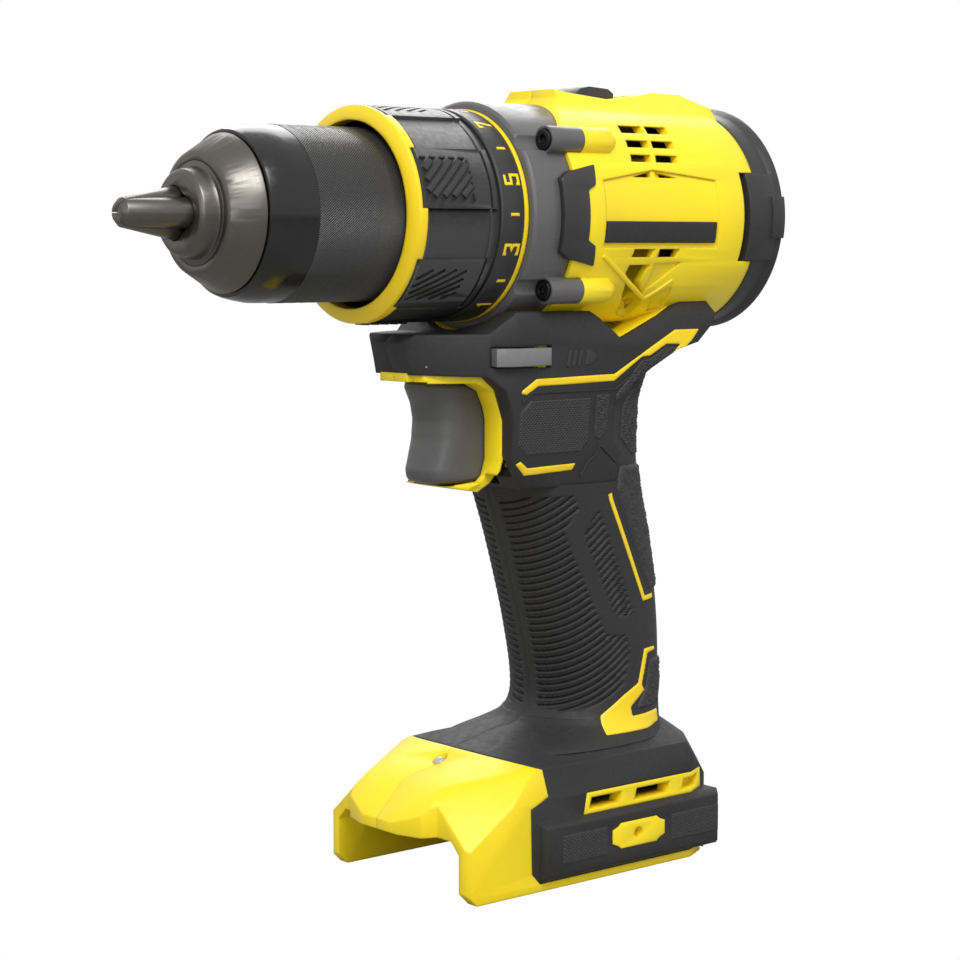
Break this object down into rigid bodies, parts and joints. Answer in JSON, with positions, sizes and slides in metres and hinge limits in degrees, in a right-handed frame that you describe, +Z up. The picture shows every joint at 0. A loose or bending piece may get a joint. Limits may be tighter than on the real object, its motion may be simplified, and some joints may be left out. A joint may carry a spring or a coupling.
{
  "type": "cordless drill",
  "caption": "Cordless pistol-grip drill driver with keyless three-jaw chuck, torque collar, planetary gearbox, trigger and an open battery foot.",
  "frame": {"origin": "centre of the bounding box, on the underside of the battery foot", "axes": "+Z up, spindle axis along X with the chuck towards -X, symmetry plane y = 0"},
  "size_m": [0.1924, 0.0626, 0.2068],
  "materials": {
    "yellow_shell": "fine spark texture",
    "soft_grip": "matt, finely textured",
    "black_plastic": "satin moulded",
    "case_grey": "satin moulded",
    "trigger_grey": "satin moulded",
    "accent_yellow": "satin moulded",
    "bare_steel": "ground",
    "chuck_steel": "turned and oiled",
    "black_steel": "blackened",
    "gear_steel": "sintered",
    "magnet": "ferrite",
    "windings": "varnished copper and laminations",
    "bronze": "sintered bronze",
    "switch_black": "moulded",
    "lens": "clear",
    "board_green": "coated",
    "wire_red": "insulation"
  },
  "bodies": {
    "housing": {"left_housing": "yellow_shell", "right_housing": "yellow_shell", "left_grip": "soft_grip", "right_grip": "soft_grip", "rear_cap": "black_plastic", "left_side_pad": "black_plastic", "right_side_pad": "black_plastic", "gear_case": "case_grey", "case_screws": "black_steel", "housing_screws": "black_steel", "clutch_spring": "bare_steel", "clutch_washer": "bare_steel", "clutch_pins": "bare_steel", "front_bearing": "bare_steel", "rear_bush": "bronze", "ring_gear_3": "gear_steel", "ring_gear_1": "gear_steel", "motor_can": "bare_steel", "motor_magnets": "magnet", "motor_bearings": "bare_steel", "brush_card": "switch_black", "trigger_spring": "bare_steel", "switch_module": "switch_black", "led_lens": "lens", "led_board": "board_green", "terminal_block": "switch_black", "power_wires": "wire_red"},
    "spindle": {"chuck_body": "chuck_steel", "chuck_front_ring": "chuck_steel", "chuck_screw": "black_steel", "output_spindle": "bare_steel"},
    "sleeve": {"chuck_sleeve": "black_plastic", "chuck_nut": "black_steel"},
    "jaw_1": {"jaw_1": "chuck_steel"},
    "jaw_2": {"jaw_2": "chuck_steel"},
    "jaw_3": {"jaw_3": "chuck_steel"},
    "planet_3a": {"planet_3a": "gear_steel"},
    "planet_3b": {"planet_3b": "gear_steel"},
    "planet_3c": {"planet_3c": "gear_steel"},
    "planet_2a": {"planet_2a": "gear_steel"},
    "planet_2b": {"planet_2b": "gear_steel"},
    "planet_2c": {"planet_2c": "gear_steel"},
    "planet_1a": {"planet_1a": "gear_steel"},
    "planet_1b": {"planet_1b": "gear_steel"},
    "planet_1c": {"planet_1c": "gear_steel"},
    "carrier_2": {"carrier_2": "gear_steel"},
    "carrier_1": {"carrier_1": "gear_steel"},
    "rotor": {"motor_rotor": "windings", "motor_fan": "black_plastic"},
    "collar": {"torque_collar": "black_plastic", "collar_front_ring": "accent_yellow", "number_ring": "black_plastic", "index_ring": "accent_yellow"},
    "clutch_nut": {"clutch_nut": "black_plastic"},
    "selector": {"speed_selector": "black_plastic"},
    "shift_ring": {"ring_gear_2": "gear_steel", "shift_wire": "bare_steel"},
    "direction_button": {"direction_button": "trigger_grey"},
    "trigger": {"trigger": "trigger_grey"}
  },
  "joints": [
    {"name": "chuck_spin", "type": "hinge", "parent": "housing", "child": "spindle", "pos_m": [0.0158, 0, 0.1724], "axis": [1, 0, 0], "continuous": true},
    {"name": "planet_3a_spin", "type": "hinge", "parent": "spindle", "child": "planet_3a", "pos_m": [0.0158, 0, 0.18477], "axis": [1, 0, 0], "continuous": true},
    {"name": "planet_3b_spin", "type": "hinge", "parent": "spindle", "child": "planet_3b", "pos_m": [0.0158, -0.01072, 0.16621], "axis": [1, 0, 0], "continuous": true},
    {"name": "planet_3c_spin", "type": "hinge", "parent": "spindle", "child": "planet_3c", "pos_m": [0.0158, 0.01072, 0.16621], "axis": [1, 0, 0], "continuous": true},
    {"name": "carrier_2_spin", "type": "hinge", "parent": "housing", "child": "carrier_2", "pos_m": [0.0158, 0, 0.1724], "axis": [1, 0, 0], "continuous": true},
    {"name": "planet_2a_spin", "type": "hinge", "parent": "carrier_2", "child": "planet_2a", "pos_m": [0.0158, 0, 0.18477], "axis": [1, 0, 0], "continuous": true},
    {"name": "planet_2b_spin", "type": "hinge", "parent": "carrier_2", "child": "planet_2b", "pos_m": [0.0158, -0.01072, 0.16621], "axis": [1, 0, 0], "continuous": true},
    {"name": "planet_2c_spin", "type": "hinge", "parent": "carrier_2", "child": "planet_2c", "pos_m": [0.0158, 0.01072, 0.16621], "axis": [1, 0, 0], "continuous": true},
    {"name": "carrier_1_spin", "type": "hinge", "parent": "housing", "child": "carrier_1", "pos_m": [0.0158, 0, 0.1724], "axis": [1, 0, 0], "continuous": true},
    {"name": "planet_1a_spin", "type": "hinge", "parent": "carrier_1", "child": "planet_1a", "pos_m": [0.0158, 0, 0.18477], "axis": [1, 0, 0], "continuous": true},
    {"name": "planet_1b_spin", "type": "hinge", "parent": "carrier_1", "child": "planet_1b", "pos_m": [0.0158, -0.01072, 0.16621], "axis": [1, 0, 0], "continuous": true},
    {"name": "planet_1c_spin", "type": "hinge", "parent": "carrier_1", "child": "planet_1c", "pos_m": [0.0158, 0.01072, 0.16621], "axis": [1, 0, 0], "continuous": true},
    {"name": "rotor_spin", "type": "hinge", "parent": "housing", "child": "rotor", "pos_m": [0.0158, 0, 0.1724], "axis": [1, 0, 0], "continuous": true},
    {"name": "sleeve_turn", "type": "hinge", "parent": "spindle", "child": "sleeve", "pos_m": [0.0158, 0, 0.1724], "axis": [1, 0, 0], "range_deg": [0, 4320]},
    {"name": "jaw_1_slide", "type": "slide", "parent": "spindle", "child": "jaw_1", "axis": [0.9763, -0.2164, 0], "range_m": [0, 0.03003]},
    {"name": "jaw_2_slide", "type": "slide", "parent": "spindle", "child": "jaw_2", "axis": [0.9763, 0.1082, -0.1874], "range_m": [0, 0.03003]},
    {"name": "jaw_3_slide", "type": "slide", "parent": "spindle", "child": "jaw_3", "axis": [0.9763, 0.1082, 0.1874], "range_m": [0, 0.03003]},
    {"name": "collar_turn", "type": "hinge", "parent": "housing", "child": "collar", "pos_m": [0.0158, 0, 0.1724], "axis": [1, 0, 0], "range_deg": [0, 300]},
    {"name": "clutch_nut_slide", "type": "slide", "parent": "collar", "child": "clutch_nut", "axis": [1, 0, 0], "range_m": [0, 0.0035], "deforming": ["clutch_spring"]},
    {"name": "speed_select", "type": "slide", "parent": "housing", "child": "selector", "axis": [1, 0, 0], "range_m": [0, 0.007]},
    {"name": "shift_slide", "type": "slide", "parent": "housing", "child": "shift_ring", "axis": [1, 0, 0], "range_m": [0, 0.0035]},
    {"name": "direction_slide", "type": "slide", "parent": "housing", "child": "direction_button", "axis": [0, 1, 0], "range_m": [-0.0025, 0.0025]},
    {"name": "trigger_pull", "type": "slide", "parent": "housing", "child": "trigger", "axis": [1, 0, 0], "range_m": [0, 0.0065], "stiffness_N_per_m": 400, "springref_m": -0.01, "deforming": ["trigger_spring"]}
  ],
  "couplings": [
    {"joint": "planet_3a_spin", "follows": "chuck_spin", "ratio": -3.2},
    {"joint": "planet_3b_spin", "follows": "chuck_spin", "ratio": -3.2},
    {"joint": "planet_3c_spin", "follows": "chuck_spin", "ratio": -3.2},
    {"joint": "carrier_2_spin", "follows": "chuck_spin", "ratio": 3.6667},
    {"joint": "planet_2a_spin", "follows": "chuck_spin", "ratio": -11.733},
    {"joint": "planet_2b_spin", "follows": "chuck_spin", "ratio": -11.733},
    {"joint": "planet_2c_spin", "follows": "chuck_spin", "ratio": -11.733},
    {"joint": "carrier_1_spin", "follows": "chuck_spin", "ratio": 13.444},
    {"joint": "planet_1a_spin", "follows": "chuck_spin", "ratio": -43.022},
    {"joint": "planet_1b_spin", "follows": "chuck_spin", "ratio": -43.022},
    {"joint": "planet_1c_spin", "follows": "chuck_spin", "ratio": -43.022},
    {"joint": "rotor_spin", "follows": "chuck_spin", "ratio": 49.296},
    {"joint": "jaw_1_slide", "follows": "sleeve_turn", "m_per_rad": 0.00039828},
    {"joint": "jaw_2_slide", "follows": "sleeve_turn", "m_per_rad": 0.00039828},
    {"joint": "jaw_3_slide", "follows": "sleeve_turn", "m_per_rad": 0.00039828},
    {"joint": "clutch_nut_slide", "follows": "collar_turn", "m_per_rad": 0.00066826},
    {"joint": "shift_slide", "follows": "speed_select", "ratio": 0.5}
  ]
}
